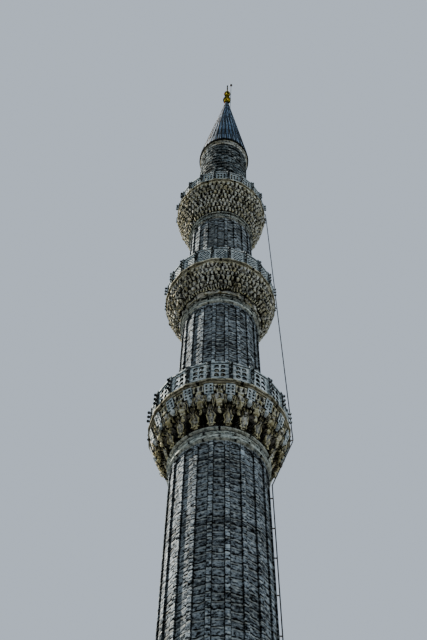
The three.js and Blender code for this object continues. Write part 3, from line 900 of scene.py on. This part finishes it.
# %% [markdown]
# ## Pendants, brackets and plates
# The first balcony's carving is large enough to show its parts from the ground. On each
# rib stands a leaf bracket with a splayed foot, above it a rounded boss, and above that a
# small plate cut through with holes. A drop hangs in the dark niche between two brackets.
# Rain washes the bosses and plates as pale as marble, and the sides of a bracket carry black painted shade.
# A drop is turned about its own axis, a bracket is a bent grid, a boss is a stretched ball,
# and a plate is made as the parapets are.


# %% Hanging drops and leaf brackets
TIER_LEAN = 0.3
DROP = [(0.0, -3.9), (0.55, -3.5), (0.8, -2.8), (0.55, -2.1), (0.35, -1.8), (0.75, -1.4),
        (0.75, -0.9), (0.35, -0.5), (0.35, 0.6), (0.9, 1.4), (0.0, 1.6)]


def drop(bm, r, a, top, size):
    """A turned drop with a collar, hanging from the height `top`."""
    centre = polar(r, a, top)
    points = [bm.verts.new(centre + Vector((size * S * x, 0.0, size * S * z))) for x, z in DROP]
    edges = [bm.edges.new(pair) for pair in zip(points, points[1:])]
    bmesh.ops.spin(bm, geom=points + edges, cent=centre, axis=UP, angle=math.tau, steps=8,
                   use_merge=True)


def leaf(bm, a, low, high, r0, r1, widths, thick):
    """A bracket between two heights that leans out, wide where `widths` says."""
    made = bmesh.ops.create_grid(bm, x_segments=8, y_segments=12, size=0.5)["verts"]
    for point in made:
        u, w = point.co.x * 2.0, point.co.y + 0.5
        place = w * (len(widths) - 1)
        k = min(int(place), len(widths) - 2)
        half = widths[k] + (widths[k + 1] - widths[k]) * (place - k)
        bulge = 0.03 * math.sin(math.pi * w) * (1.0 - u * u) + 0.05 * abs(math.cos(math.pi * u))
        r = r0 + (r1 - r0) * w * w + bulge
        point.co = polar(r, a + u * half / r, low + (high - low) * w)
    inwards(grown(bm, made), thick)


def boss(bm, r, a, z, across, deep, tall):
    """A rounded boss, set against the leaning face of a tier."""
    where = (Matrix.Translation(polar(r, a, z)) @ Matrix.Rotation(a, 4, "Z")
             @ Matrix.Rotation(TIER_LEAN, 4, "X")
             @ Matrix.Diagonal((across * S, deep * S, tall * S, 1.0)))
    bmesh.ops.create_uvsphere(bm, u_segments=10, v_segments=8, radius=1.0, matrix=where)


# %% First balcony's corbels
def dome(x, w):
    """A raised and fluted half dome with a pointed foot."""
    half = min(1.0, 0.25 + 1.1 * w)
    if abs(x) >= half:
        return 0.0
    return -math.sqrt(1.0 - (x / half) ** 2) * (0.75 + 0.25 * abs(math.cos(2.0 * math.pi * x)))


corbels("balcony_1", carved_stone, [
    (28.08, 28.68, 1.53, 1.72, [(niche_low, [0.0], 0.37, 0.25)]),
    (28.68, 28.84, 1.86, 1.91, [(niche, [-0.42, 0.42], 0.08, 0.14), (niche, [-0.22, 0.22], 0.07, 0.14)]),
    (28.84, 29.02, 1.94, 1.99, [(niche, [-0.32, 0.32], 0.11, 0.25), (dome, [0.0], 0.15, 0.08)]),
    (29.02, 29.18, 2.01, 2.05, [(niche, [-0.2, 0.2], 0.08, 0.14), (lump, [0.0], 0.12, 0.06)]),
    (29.18, 29.36, 2.07, 2.12, [(niche, [-0.12, 0.12], 0.07, 0.08), (lozenge, [-0.33, 0.33], 0.08, 0.06)]),
], rows=8, hang=0.08, deep=0.85, wear=0.03)

# %% First balcony's brackets and drops
LEAF_WIDTHS = (0.13, 0.09, 0.1, 0.14, 0.15, 0.1, 0.07, 0.13, 0.15)
LEAFLET_WIDTHS = (0.02, 0.05, 0.06, 0.04)
bm, shade_faces = fresh()
leaf(bm, POST_ANGLE, 28.12, 28.74, 1.54, 1.78, LEAF_WIDTHS, 0.1)
for side in (-1, 1):
    leaf(bm, side * 0.27 * BAY, 28.66, 28.92, 1.86, 1.98, LEAFLET_WIDTHS, 0.06)
bm.normal_update()
# Painted shade on the sides and back of each bracket.
for face in bm.faces:
    outwards = face.calc_center_median() * Vector((1.0, 1.0, 0.0))
    face[shade_faces] = 0.0 if abs(face.normal.dot(outwards.normalized())) > 0.5 else GROOVE_SHADE
leaves = set(bm.faces)
boss(bm, 1.89, 0.0, 28.75, 0.11, 0.08, 0.13)
boss(bm, 2.04, 0.0, 29.05, 0.1, 0.04, 0.06)
drop(bm, 1.82, 0.0, 28.53, 0.065)
shells = set(bm.faces) - leaves
boss(bm, 1.97, POST_ANGLE, 28.89, 0.08, 0.08, 0.17)
for face in bm.faces:
    face.material_index = 0 if face in leaves else 1 if face in shells else 2
around(bm)
worn(bm.verts, 0.045, 0.12)
settle(bm, "balcony_1_brackets", [carved_stone, finely_carved, marble], "carved_stone")

# %% First balcony's pierced plates
bm = fresh()[0]
pierced(bm, 0.28, 28.96, 29.345, 0.045, 2.03,
        [(x, z, 6, 0.04, 0.042, 0.0) for x in (-0.065, 0.065) for z in (29.04, 29.15, 29.26)],
        POST_ANGLE, TIER_LEAN)
around(bm)
settle(bm, "balcony_1_plates", [marble], "marble")

# %% Second balcony's corbels
corbels("balcony_2", finely_carved, [
    (36.30, 36.48, 1.46, 1.50, []),
    (36.48, 36.68, 1.57, 1.61, [(niche, spaced(5), 0.06, 0.14)]),
    (36.68, 36.88, 1.63, 1.69, [(lump, spaced(3), 0.11, 0.05), (niche, spaced(3, 0.5), 0.08, 0.14)]),
    (36.88, 37.10, 1.72, 1.78, [(lump, spaced(3, 0.5), 0.1, 0.05), (niche, spaced(3), 0.09, 0.16)]),
    (37.10, 37.30, 1.80, 1.86, [(lump, spaced(4, 0.5), 0.07, 0.04), (niche, spaced(4), 0.06, 0.13)]),
    (37.30, 37.50, 1.88, 1.93, [(lozenge, spaced(4, 0.5), 0.11, 0.12)]),
    (37.50, 37.70, 1.95, 2.00, [(lump, spaced(4, 0.5), 0.07, 0.03), (niche, spaced(4), 0.06, 0.1)]),
], rows=6, hang=0.07, deep=0.4, wear=0.07)

# %% Third balcony's corbels
TIERS_3 = 7
low, high = BALCONIES["balcony_3"]["ring_top"], BALCONIES["balcony_3"]["soffit"]
r0, r1 = 1.33, 1.86
rise, lean = (high - low) / TIERS_3, (r1 - r0) / TIERS_3
corbels("balcony_3", finely_carved, [
    (low + rise * k, low + rise * (k + 1), r0 + lean * (k + 0.35), r0 + lean * (k + 1),
     [(lozenge if k % 3 == 2 else niche, spaced(3, k % 2 / 2), 0.09, 0.14),
      (lump, spaced(3, k % 2 / 2 + 0.5), 0.09, 0.05)])
    for k in range(TIERS_3)
], rows=6, hang=0.06, deep=1.0, wear=0.07)

# %% [markdown]
# ## Parapets
# Each side of a balcony is one thin slab of marble, cut through, between two posts. The
# outlines of the slab and its holes are filled as one flat face and then pushed back.
# The first balcony has arched holes, the second a fine lattice, the third small panes.
# Three round knobs stand out from each post.


# %% Holes of the three parapets
def arches():
    """Two columns of three round-headed holes."""
    return [(x, z, 12, 0.076, 0.075, 0.12) for x in (-0.098, 0.098) for z in (0.34, 0.575, 0.81)]


def diamonds():
    """A lattice of diamonds twice as tall as they are wide."""
    wide, tall = 0.105, 0.19
    found = []
    for row in range(7):
        for column in range(5):
            x = (column - 2 + 0.5 * (row % 2)) * wide
            if abs(x) < 0.2:
                found.append((x, 0.22 + row * tall / 2, 4, wide * 0.34, tall * 0.34, 0.0))
    return found


def panes():
    """Three columns of two tall holes with nearly flat heads."""
    return [(x, z, 8, 0.045, 0.02, 0.19) for x in (-0.13, 0.0, 0.13) for z in (0.405, 0.655)]


# %% Parapets
PARAPETS = {
    "balcony_1": (1.01, 2.13, arches),
    "balcony_2": (0.98, 1.975, diamonds),
    "balcony_3": (0.85, 1.835, panes),
}
SLAB_THICK, RAIL_TALL, POST_WIDE = 0.06, 0.07, 0.13
KNOB_PLACES, KNOB_R, KNOB_ARM = (0.3564, 0.5842, 0.8119), 0.052, 0.04
for name, (height, r, holes) in PARAPETS.items():
    bm, shade_faces = fresh()
    floor_z = BALCONIES[name]["floor"]
    foot, top = floor_z + 0.002, floor_z + height
    wall = r * math.cos(POST_ANGLE)
    width = 2 * (r * math.sin(POST_ANGLE) - 0.055)
    cut = [(x, floor_z + z, *rest) for x, z, *rest in holes()]
    pierced(bm, width, floor_z + 0.004, top - 0.06, SLAB_THICK, wall, cut)
    for side in block(bm, width, top - RAIL_TALL, top, wall - 0.06, wall + 0.065, soften=0.012):
        # Painted shade under the rail.
        if side.normal.z < -0.9:
            side[shade_faces] = GROOVE_SHADE
    block(bm, width, foot, floor_z + 0.11, wall - 0.05, wall + 0.055, soften=0.01)
    slab = set(bm.faces)
    block(bm, POST_WIDE, foot, top + 0.03, r - 0.06, r + 0.08, POST_ANGLE, soften=0.012)
    for place in KNOB_PLACES:
        z = floor_z + place * height
        where = Matrix.Translation(polar(r + 0.13, POST_ANGLE, z))
        bmesh.ops.create_uvsphere(bm, u_segments=8, v_segments=6, radius=KNOB_R * S, matrix=where)
        block(bm, KNOB_ARM, z - KNOB_ARM / 2, z + KNOB_ARM / 2, r + 0.07, r + 0.11, POST_ANGLE)
    bm.normal_update()
    # Painted shade on the posts and knobs, on every side but the top and the left one.
    for face in set(bm.faces) - slab:
        if face.normal.x > -0.6 and face.normal.z < 0.5:
            face[shade_faces] = POST_SIDE_SHADE
    around(bm)
    settle(bm, name + "_parapet", [marble], "marble", name + "_parapet_front", name + "_parapet_back")

# %% [markdown]
# ## Lead cone
# Lead is laid in strips that run up the boards, turned over into standing seams, with laps
# across where one sheet ends over the next. There are 32 seams, or welts, at the eave,
# and every other one stops half way up, as the strips narrow.

# %% Lead cone
SLOPE = (SHEET_R - APEX_R) / (APEX_Z - SHEET_Z)
WELT = 0.035
WELT_R, WELT_Z, HALF_WAY = 1.175, EAVE_Z + 0.12, EAVE_Z + 5.2


def sheet_radius(z):
    return SHEET_R - SLOPE * (z - SHEET_Z)


bm, shade_faces = fresh()
outline = [(1.06, EAVE_Z + 0.2), (1.08, EAVE_Z), *bead(EAVE_R - 0.03, EAVE_Z, EAVE_Z + 0.1, 0.03),
           (1.19, SHEET_Z)]
for lap in range(1, int((APEX_Z - SHEET_Z) / LAP) + 1):
    z = SHEET_Z + lap * LAP
    outline += [(sheet_radius(z) + 0.016, z - 0.01), (sheet_radius(z), z)]
outline += [(APEX_R, APEX_Z), (0.001, APEX_Z), (0.001, APEX_Z - 1.0)]
turn(bm, outline, 96)
# Painted shade on the eave's moulding and its underside.
for face in bm.faces:
    if face.calc_center_median().z < (SHEET_Z + 0.01) * S:
        face[shade_faces] = BLACKEST_SHADE
for k in range(SEAMS):
    top = APEX_Z - 0.1 if k % 2 == 0 else HALF_WAY
    a = math.tau * k / SEAMS
    strip = bmesh.ops.create_cube(bm, size=1.0)["verts"]
    # Painted shadow: each standing seam is black all over.
    for face in faces_at(strip):
        face[shade_faces] = BLACKEST_SHADE
    for point in strip:
        base, z, size = (WELT_R, WELT_Z, WELT) if point.co.z < 0 else (sheet_radius(top), top, WELT / 2)
        out = math.copysign(size, -point.co.y)
        point.co = polar(base + out, a + point.co.x * size / base, z)
leaning(bm)
settle(bm, "cone_roof_lead", [lead], "lead", "cone_roof")

# %% [markdown]
# ## Finial
# Beaten and gilded copper: a foot, two bulbs with a collar between them, and a crescent.
# The turned part is spun from its outline with arcs for the bulbs; the crescent is a solid
# of the CAD model.


# %% Finial
def bulb(z, r, neck):
    """Points of a bulb of radius r centred at z that starts and ends at the neck."""
    start = math.asin(neck / r)
    return [(r * math.sin(start + (math.pi - 2 * start) * k / 8),
             z - r * math.cos(start + (math.pi - 2 * start) * k / 8)) for k in range(9)]


bm = bmesh.new()
turn(bm, [(0.001, 61.2), (0.1, 61.2), *bead(0.1, 61.22, 61.38, 0.03), (0.06, 61.44), *bulb(61.7, 0.222, 0.08),
          (0.09, 61.96), *bead(0.09, 62.0, 62.2, 0.05), (0.08, 62.26), *bead(0.08, 62.3, 62.48, 0.04),
          (0.07, 62.54), *bulb(62.76, 0.182, 0.06), (0.045, 63.05), *bead(0.045, 63.08, 63.2, 0.02),
          (0.035, 63.26), (0.001, 63.26)], 40)
leaning(bm)
settle(bm, "finial_gilded", [gilt], "gilt", "finial")
